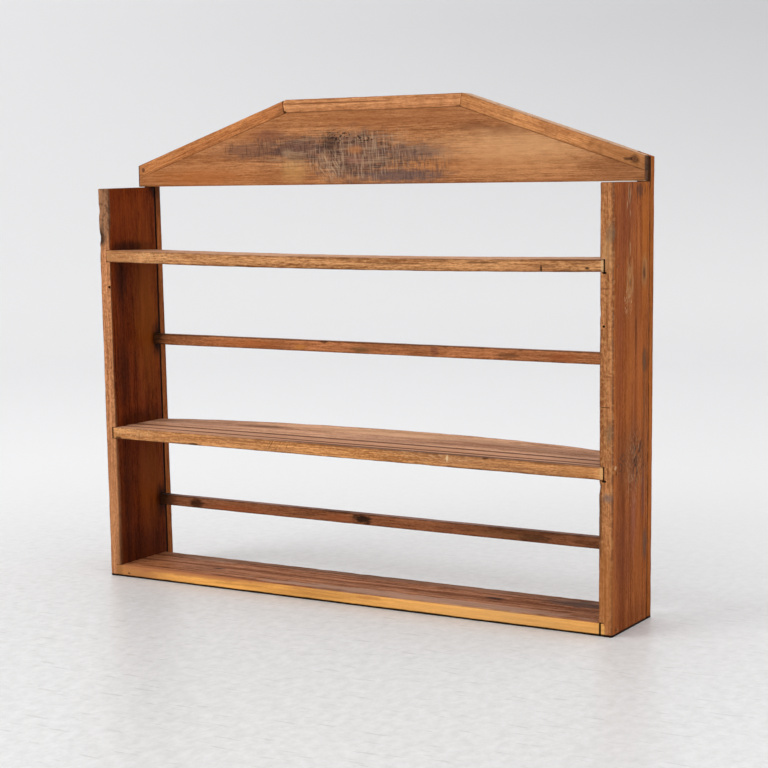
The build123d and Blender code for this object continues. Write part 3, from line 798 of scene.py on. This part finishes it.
plateRail = dict(slot="rail_pine", thick=18.0, tongue=13.0, arris=1.6, steps=(9.0, 6.0, 7.0),
                 reach=5.0, knock=40.0, wear=0.4, wave=120.0, planing=0.4)
railLooks = {
    "plate_rail_upper": dict(
        seed=8, shift=(10, 50, 20), tone="bb784c", sides=((2, 1, "9a6a4e", 0.8),),
        patchTone="6a3c22", patchAmount=0.4, wearTone="4a2814", wearAmount=0.7,
        marks=(
            # The first two marks are painted shade where the rail's ends meet the side boards
            mark((-521, 57, 471), (20, 30, 30), "180b05", 0.85, soft=0.6),
            mark((521, 57, 470), (14, 30, 30), "2a140a", 0.6, soft=0.6),
            mark((-113, 48, 481), (9, 10, 3.5), "4a2a18", 0.8, (4, 0.6)),
            mark((-300, 48, 470), (70, 8, 6), "c06a34", 0.45, (8, 0.8), 0.8),
            mark((-168, 48, 468), (12, 8, 5), "c8843a", 0.5, (5, 0.7)),
            mark((-31, 48, 468), (20, 8, 5), "6e5638", 0.5, (5, 0.7)),
            mark((131, 48, 470), (9, 8, 9), "6a3a34", 0.5, (5, 0.7)),
            mark((285, 48, 468), (24, 8, 5), "4a2c1a", 0.6, (4, 0.9)),
            mark((393, 48, 468), (30, 8, 7), "a4542c", 0.4, (5, 0.7)),
        )),
    "plate_rail_lower": dict(
        seed=9, shift=(-33, 15, 70), tone="985f3e", sides=((2, 1, "a07868", 0.8),),
        patchTone="3c2414", patchAmount=0.5, wearTone="2e1a0f", wearAmount=0.5,
        marks=(
            # The first mark is painted shade where the rail's left end meets the side board
            mark((-518, 57, 139), (26, 30, 30), "180b05", 0.85, soft=0.6),
            mark((-330, 48, 132), (70, 8, 5), "a8562e", 0.45, (8, 0.8), 0.8),
            mark((-85, 48, 134), (28, 8, 6), "a85c34", 0.5, (5, 0.8), 0.6),
            mark((-33, 48, 136), (20, 8, 8.5), "22160f", 0.9, (5, 0.9)),
            mark((-428, 48, 136), (16, 8, 9), "2a160d", 0.8, (5, 0.8)),
            mark((334, 48, 131), (30, 8, 6), "3e2a1c", 0.6, (4, 0.9)),
            mark((260, 48, 132), (60, 8, 4), "9a6a44", 0.4, (6, 0.7)),
        )),
}


def makeRail(node, name):
    seat = railSeats[node]
    look = {**plateRail, **railLooks[node]}
    half = innerHalf + look["tongue"]
    low = (-half, sideBackY - look["thick"], seat["left"])
    high = (half, sideBackY, seat["left"] + seat["thick"])
    board = startBoard(name, low, high)
    roundEdges(board, lambda p: True, look["arris"], along=0)
    cutGrid(board, look["steps"])
    wearBoard(board, low, high, look)
    push(board, heightShare, seat["right"] - seat["left"], "Z")
    finishPiece(board, node, agedPine("agedPine" + name[0].upper() + name[1:], look))


makeRail("plate_rail_upper", "plateRailUpper")
makeRail("plate_rail_lower", "plateRailLower")
print("plate rails done")

# Pediment board under the cap strips

# Grime along the left ends
endLine = mark((-555.5, 48, 805), (4.2, 9, 60), "54423a", 0.85, (5, 0.3), 0.3)
pedimentBoard = dict(
    slot="pediment_pine", foot=783.5, endTop=801.63, top=923.0, mitreX=188.9, arris=1.5,
    leftReach=4.0, leftDrop=1.6,    # the left end runs out further and slopes lower
    steps=(9.0, 9.0, 7.0), reach=5.0, knock=24.0, wear=0.4, wave=120.0, planing=0.2,
    seed=10, shift=(-15, 60, 33), tone="ae754a",
    layers=((380, 22, 18, 0.8), (160, 2.6, 2.4, 0.9), (24, 1.4, 1.6, 1.2), (6, 2.4, 2.4, 0.7)),
    sides=((0, 1, "4a382c", 1.0), (0, -1, "6a4a34", 1.0)),
    patchTone="94562c", patchAmount=0.35, wearTone="7a4a2a", wearAmount=0.4,
    marks=(
        # A stain where something stood against the board: dark body, two tails to the right, one to the left
        mark((-270, 48, 852), (72, 8, 17), "6a4a3e", 0.7, (6, 0.8), 0.7),
        mark((-236, 48, 880), (36, 8, 12), "70463a", 0.6, (6, 0.8), 0.7),
        mark((-160, 48, 853), (54, 8, 25), "604640", 0.82, (6, 0.8), 0.6),
        mark((-38, 48, 838), (86, 8, 44), "5f4842", 0.78, (7, 0.8), 0.5),
        mark((96, 48, 843), (66, 8, 13), "66534e", 0.72, (5, 0.9), 0.7),
        mark((66, 48, 799), (82, 8, 11), "625250", 0.78, (5, 0.9), 0.6),
        # Fine crossing lines in it, dark and pale
        mark((-60, 48, 840), (150, 8, 44), "3a2a26", 0.55, strokes=((2.6, 30, 20), (0, 0.08, 0))),
        mark((-60, 48, 840), (190, 8, 44), "3f302c", 0.5, strokes=((36, 30, 2.6), (0, 0.03, 0))),
        mark((-230, 48, 855), (110, 8, 18), "3f2a22", 0.45, strokes=((2.8, 30, 18), (0, 0.1, 0))),
        mark((80, 48, 820), (90, 8, 34), "4a3c3a", 0.5, strokes=((2.8, 30, 18), (0, 0.05, 0))),
        mark((-30, 48, 838), (110, 8, 44), "c2a283", 0.4, strokes=((2.2, 30, 26), (0, 0.04, 0))),
        mark((-60, 48, 845), (170, 8, 36), "bc9a78", 0.35, strokes=((46, 30, 2.2), (0, 0.03, 0))),
        mark((-100, 48, 820), (26, 8, 26), "cfae88", 0.4, strokes=((2.4, 30, 20), (0, 0.6, 0))),
        mark((-72, 48, 874), (34, 8, 12), "241815", 0.85, (4, 0.9), strokes=((5, 30, 4), (0, 0.5, 0))),
        mark((-22, 48, 868), (26, 8, 8), "241815", 0.8, (4, 0.9), strokes=((5, 30, 4), (0, -0.3, 0))),
        mark((-92, 48, 862), (16, 8, 18), "33241e", 0.6, (4, 0.9), 0.8),
        # Pale wipes and the bare spot in the middle
        mark((-176, 48, 812), (24, 8, 22), "cb9c5e", 0.4, (8, 0.7), 0.9),
        mark((-190, 48, 846), (12, 8, 7), "bb9a78", 0.4, (4, 0.8), 0.8),
        mark((-38, 48, 849), (15, 8, 6), "b87440", 0.55, (4, 1.0), 0.8),
        mark((-36, 48, 829), (18, 8, 6), "a8705c", 0.4, (4, 0.9), 0.8),
        # Slow clouds in the board's own colour
        mark((216, 48, 887), (36, 8, 9), "74452b", 0.6, (8, 0.7), 0.7),
        mark((280, 48, 880), (44, 8, 8), "74452b", 0.6, (8, 0.7), 0.7),
        mark((310, 48, 850), (140, 8, 26), "dca876", 0.58, (10, 0.7), 0.8),
        mark((310, 48, 812), (110, 8, 18), "cf9460", 0.35, (10, 0.7), 0.8),
        mark((500, 48, 806), (60, 8, 24), "8a5636", 0.4, (8, 0.7), 0.8),
        mark((120, 48, 905), (160, 8, 12), "8e5430", 0.45, (10, 0.7), 0.8),
        mark((-420, 48, 800), (130, 8, 14), "b8692f", 0.4, (10, 0.7), 0.8),
        # This mark is a painted highlight along the foot's lower bevel, over the shade of the gap beneath
        mark((510, 48, 782.6), (95, 8, 2.4), "d6b48a", 0.85, (8, 0.4)),
        endLine,
    ),
)


def makePediment():
    look = pedimentBoard
    low, high = (-halfWidth, pedimentFrontY, look["foot"]), (halfWidth, sideBackY, look["top"])
    board = startBoard("pedimentBoard", low, high)
    cutAcross(board, 0, [-look["mitreX"], look["mitreX"]])
    moveCorners(board, lambda p: p.z > look["top"] - clear and abs(p.x) > halfWidth - clear,
                (0, 0, look["endTop"] - look["top"]))
    moveCorners(board, lambda p: p.x < clear - halfWidth, (-look["leftReach"], 0, 0))
    moveCorners(board, lambda p: p.x < clear - halfWidth and p.z > look["foot"] + clear,
                (0, 0, -look["leftDrop"]))
    roundEdges(board, lambda p: p.z < look["foot"] + touch, look["arris"], along=0, segments=2)
    cutGrid(board, look["steps"])
    wearBoard(board, low, high, look)
    finishPiece(board, "pediment_board", agedPine("agedPinePediment", look))


makePediment()
print("pediment done")

# Cap strips along the upper edges, mitred at the two corners

capStrip = dict(slot="cap_pine", top=948.0, flatHalf=193.0, mitreGap=0.6, overlap=6.8, endCut=0.5,
                end=828.0, arris=1.4,
                notch=(700.0, 1000.0),    # heights past which the cut round a post head reaches
                steps=(9.0, 9.0, 30.0), reach=5.0, knock=24.0, wear=0.4, wave=100.0, planing=0.2,
                layers=((380, 16, 16, 0.7), (160, 2.6, 2.6, 0.9), (24, 1.6, 1.6, 1.2), (6, 2.4, 2.4, 0.7)),
                wearTone="7a4c2a", wearAmount=0.4)
capLooks = {
    "left": dict(seed=11, postGap=-4.1, shift=(70, 5, 44), tone="bd7a48", lean=0.324,
                 # The top-face side tone is paler: a painted highlight
                 sides=((0, -1, "6a4a34", 1.0), (2, 1, "b98c68", 1.0)),
                 wearTone="5a3c28", wearAmount=0.55, marks=(endLine,)),
    # The top-face side tone is paler: a painted highlight
    "top": dict(seed=12, shift=(150, 21, 18), tone="d1905e", sides=((2, 1, "b98c68", 1.0),),
                marks=(mark((-80, 48, 939), (120, 8, 1.5), "6a3c20", 0.75, (6, 0.3)),
                       mark((-199, 48, 944.5), (3, 8, 2.4), "1a0c06", 0.9, (3, 0.3)),
                       mark((-195, 48, 924), (4, 8, 2.4), "1a0c06", 0.9, (3, 0.3)),
                       mark((186, 48, 924.5), (7, 8, 2.2), "6a3c1c", 0.7, (3, 0.8)))),
    "right": dict(seed=13, postGap=-3.4, shift=(-90, 37, 52), tone="c58652", lean=-0.324,
                  # The top-face side tone is paler: a painted highlight
                  sides=((0, 1, "4a382c", 1.0), (2, 1, "c49c7c", 1.0)),
                  marks=(mark((512, 48, 838), (66, 8, 34), "8f5a34", 0.55, soft=0.8),
                         mark((519, 48, 822.4), (9, 8, 3.0), "2a1a14", 0.7, (3, 0.8)),
                         mark((531, 48, 821.4), (8, 8, 8), "2a1810", 0.7, soft=0.5))),
}


def makeCap(part):
    look = {**capStrip, **capLooks[part]}
    mitreX, endTop, boardTop = pedimentBoard["mitreX"], pedimentBoard["endTop"], pedimentBoard["top"]
    name = "capStrip" + part.title()
    end = look["end"]
    if part == "left":
        end -= pedimentBoard["leftDrop"]
        endTop -= pedimentBoard["leftDrop"]
    slope = (boardTop - endTop) / (halfWidth - mitreX)
    if part == "top":
        half = look["flatHalf"] - look["mitreGap"]
        low, high = (-half, pedimentFrontY, boardTop), (half, wallY, look["top"])
        board = startBoard(name, low, high)
        # The left end runs past the corner and was planed down to the slope
        cutAcross(board, 0, [look["endCut"] - half])
        moveCorners(board, lambda p: p.x < touch - half, (-look["overlap"], 0, 0))
        moveCorners(board, lambda p: p.x < -half - clear and p.z > look["top"] - clear,
                    (0, 0, -slope * look["overlap"]))
        for sign in (-1, 1):
            moveCorners(board, lambda p: p.x * sign > half - touch and p.z < boardTop + clear,
                        (sign * (mitreX - look["flatHalf"]), 0, 0))
    else:
        sign = hands[part]
        xs = sorted((sign * mitreX, sign * halfWidth))
        board = startBoard(name, (xs[0], pedimentFrontY, endTop), (xs[1], wallY, end))
        moveCorners(board, lambda p: abs(p.x) < mitreX + clear and p.z < endTop + clear,
                    (0, 0, boardTop - endTop))
        moveCorners(board, lambda p: abs(p.x) < mitreX + clear and abs(p.z - end) < touch,
                    (sign * (look["flatHalf"] - mitreX), 0, look["top"] - end))
        xs = sorted((sign * (innerHalf - look["postGap"]), sign * (halfWidth + clear)))
        under, over = look["notch"]
        cutBox(board, (xs[0], sideBackY, under), (xs[1], wallY + clear, over))
        if part == "left":
            cutBack = look["overlap"] + 2 * look["mitreGap"]
            moveCorners(board, lambda p: p.x > -look["flatHalf"] - clear, (-cutBack, 0, -slope * cutBack))
            moveCorners(board, lambda p: p.x < clear - halfWidth, (-pedimentBoard["leftReach"], 0, 0))
    roundEdges(board, lambda p: p.y < pedimentFrontY + touch, look["arris"], along=0, segments=2)
    cutGrid(board, look["steps"])

    def level(p):
        # The same spot on a strip that lies flat
        return p if part == "top" else Vector((p.x, p.y, p.z - slope * (halfWidth - abs(p.x))))

    corners = [level(v.co / mm) for v in board.data.vertices]
    low = [min(c[i] for c in corners) for i in range(3)]
    high = [max(c[i] for c in corners) for i in range(3)]
    wearBoard(board, low, high, look, level)
    finishPiece(board, "cap_strip_" + part, agedPine("agedPineCap" + part.title(), look))


for part in ("left", "top", "right"):
    makeCap(part)
print("cap strips done")

# Nails keep the construction's own solids

def rustedIron(name, tones):
    # Hand-forged iron gone brown with rust: dull, pitted, with darker scale
    material = bpy.data.materials.new(name)
    material.use_nodes = True
    tree = material.node_tree
    shader = tree.nodes["Principled BSDF"]
    place = addNode(tree, "TexCoord", {}).outputs["Object"]
    grit = perMetre(2.5)[0]
    scale = addNode(tree, "TexNoise", {"Vector": place, "Scale": grit, "Detail": 4.0}).outputs["Fac"]
    stops = list(zip((0.3, 0.5, 0.7), map(hexColour, tones)))
    colour = addNode(tree, "ValToRGB", {"Fac": scale}, stops=stops).outputs[0]
    tree.links.new(colour, shader.inputs["Base Color"])
    rough = addNode(tree, "MapRange", {"Value": scale, "To Min": 0.9, "To Max": 0.55}).outputs[0]
    tree.links.new(rough, shader.inputs["Roughness"])
    shader.inputs["Metallic"].default_value = 0.4
    pits = addNode(tree, "Bump", {"Height": scale, "Strength": 0.5, "Distance": 0.4 * mm}).outputs[0]
    tree.links.new(pits, shader.inputs["Normal"])
    return material


iron = rustedIron("rustedIron", ("1c1310", "3a2419", "5c3a26"))
waxedIron = rustedIron("waxedIron", ("84502a", "955a2e", "a66c3c"))
brownedIron = rustedIron("brownedIron", ("5a3418", "74441f", "8a5228"))
nailFinish = {"shelf_nails_left": waxedIron, "shelf_nails_right": waxedIron, "cap_end_nails": brownedIron}
for node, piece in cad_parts.items():
    if "nails" in node or "pins" in node:
        piece.data.materials.clear()
        piece.data.materials.append(nailFinish.get(node, iron))
print("nails done")

# Studio: a pale floor that curves up all round, soft light and the camera

studio = dict(flat=4.5, cove=1.5, wall=0.7, lip=0.3, around=72, coveSteps=12,
              floorTone="e4e4e4", scuffTone="cbcbca", wallTone="f1f1f2", duskTone="d0d0d2",
              worldTone="f5f5f5", world=1.04, key=60.0, fill=16.0)


def makeFloor():
    # A disc whose rim is drawn out, then up in steps to the wall
    bpy.ops.object.select_all(action="DESELECT")
    flat, cove = studio["flat"], studio["cove"]
    reach, height = flat - studio["lip"], 0.0
    bpy.ops.mesh.primitive_circle_add(vertices=studio["around"], radius=reach, fill_type="NGON")
    floor = bpy.context.object
    floor.name = "studioFloor"
    rims = [(flat, 0.0)]
    for step in range(1, studio["coveSteps"] + 1):
        angle = math.radians(90) * step / studio["coveSteps"]
        rims.append((flat + cove * math.sin(angle), cove * (1 - math.cos(angle))))
    rims.append((flat + cove, cove + studio["wall"]))
    bpy.ops.object.mode_set(mode="EDIT")
    bpy.ops.mesh.select_mode(type="EDGE")
    bpy.ops.mesh.select_all(action="SELECT")
    for wide, high in rims:
        bpy.ops.mesh.extrude_edges_indiv()
        bpy.ops.transform.resize(value=(wide / reach, wide / reach, 1), center_override=(0, 0, height))
        bpy.ops.transform.translate(value=(0, 0, high - height))
        reach, height = wide, high
    bpy.ops.mesh.select_all(action="SELECT")
    bpy.ops.mesh.normals_make_consistent(inside=True)
    bpy.ops.object.mode_set(mode="OBJECT")
    bpy.ops.object.shade_smooth()
    return floor


def paleFloor(name):
    # Painted studio floor: pale grey with faint scuffs, running up into a paler wall that darkens towards
    # the upper right.
    # The paler wall and floor behind the rack are painted light, and the darkening is painted shade
    material = bpy.data.materials.new(name)
    material.use_nodes = True
    tree = material.node_tree
    shader = tree.nodes["Principled BSDF"]
    place = addNode(tree, "TexCoord", {}).outputs["Object"]
    worn = addNode(tree, "Mapping",
                   {"Vector": place, "Rotation": (0, 0, 0.5), "Scale": perMetre(18, 26, 18)}).outputs[0]
    scuffs = addNode(tree, "TexNoise",
                     {"Vector": worn, "Scale": 1.0, "Detail": 5.0, "Roughness": 0.7}).outputs["Fac"]
    scuffs = addNode(tree, "MapRange", {"Value": scuffs, "From Min": 0.35, "From Max": 0.85}).outputs[0]
    # A few longer scratches across
    drawn = addNode(tree, "Mapping",
                    {"Vector": place, "Rotation": (0, 0, -0.5), "Scale": perMetre(60, 9, 60)}).outputs[0]
    drawn = addNode(tree, "TexNoise", {"Vector": drawn, "Scale": 1.0, "Detail": 2.0}).outputs["Fac"]
    drawn = addNode(tree, "MapRange", {"Value": drawn, "From Min": 0.62, "From Max": 0.75}).outputs[0]
    scuffs = addNode(tree, "Math", {0: scuffs, 1: drawn}, operation="ADD", use_clamp=True).outputs[0]
    colour = addNode(tree, "Mix",
                     {0: scuffs, 6: hexColour(studio["floorTone"]), 7: hexColour(studio["scuffTone"])},
                     data_type="RGBA").outputs[2]
    along = addNode(tree, "SeparateXYZ", {0: place})
    # Painted light: paler away from a spot in front of the rack, which offsets the rack's shade on the floor
    # behind it
    away = addNode(tree, "VectorMath", {0: place, 1: (0, -0.9, 0)}, operation="DISTANCE").outputs["Value"]
    lift = addNode(tree, "MapRange", {"Value": away, "From Min": 0.5, "From Max": 2.7},
                   interpolation_type="SMOOTHSTEP").outputs[0]
    colour = addNode(tree, "Mix", {0: lift, 6: colour, 7: hexColour(studio["wallTone"])},
                     data_type="RGBA").outputs[2]
    # Painted shade: the wall darkens towards the upper right
    aside = addNode(tree, "MapRange",
                    {"Value": along.outputs[0], "From Min": -4.8, "From Max": -1.0}).outputs[0]
    height = addNode(tree, "MapRange",
                     {"Value": along.outputs[2], "From Min": 0.2, "From Max": 1.6}).outputs[0]
    dusk = addNode(tree, "Math", {0: aside, 1: height}, operation="MULTIPLY").outputs[0]
    colour = addNode(tree, "Mix", {0: dusk, 6: colour, 7: hexColour(studio["duskTone"])},
                     data_type="RGBA").outputs[2]
    tree.links.new(colour, shader.inputs["Base Color"])
    shader.inputs["Roughness"].default_value = 0.36
    shader.inputs["Specular IOR Level"].default_value = 0.5
    return material


floor = makeFloor()
floor.data.materials.append(paleFloor("paintedFloor"))

world = bpy.data.worlds.new("studioWorld")
bpy.context.scene.world = world
world.use_nodes = True
world.node_tree.nodes["Background"].inputs["Color"].default_value = hexColour(studio["worldTone"])
world.node_tree.nodes["Background"].inputs["Strength"].default_value = studio["world"]


def softbox(name, spot, aim, size, power):
    bpy.ops.object.light_add(type="AREA", location=spot)
    lamp = bpy.context.object
    lamp.name = name
    lamp.data.size = size
    lamp.data.energy = power
    lamp.rotation_euler = (Vector(aim) - Vector(spot)).to_track_quat("-Z", "Y").to_euler()


softbox("keySoftbox", (-2.3, -3.0, 2.9), (0, 0, 0.45), 2.2, studio["key"])
softbox("fillSoftbox", (3.4, -0.6, 2.2), (0, 0, 0.45), 2.0, studio["fill"])

# Camera as the photograph was taken: from the right, a little above the middle
cameraPlace = dict(spot=(1.7149, -2.8718, 0.7899), right=(0.86562, 0.50054, -0.01284),
                   up=(-0.04592, 0.10490, 0.99342), lens=83.25, sensor=36.0)
cameraData = bpy.data.cameras.new("camera")
camera = bpy.data.objects.new("camera", cameraData)
bpy.context.scene.collection.objects.link(camera)
right, up = Vector(cameraPlace["right"]), Vector(cameraPlace["up"])
turned = Matrix((right, up, right.cross(up))).transposed().to_4x4()
camera.matrix_world = Matrix.Translation(cameraPlace["spot"]) @ turned
cameraData.lens = cameraPlace["lens"]
cameraData.sensor_width = cameraPlace["sensor"]
bpy.context.scene.camera = camera
bpy.context.scene.view_settings.view_transform = "Standard"
print("studio done")
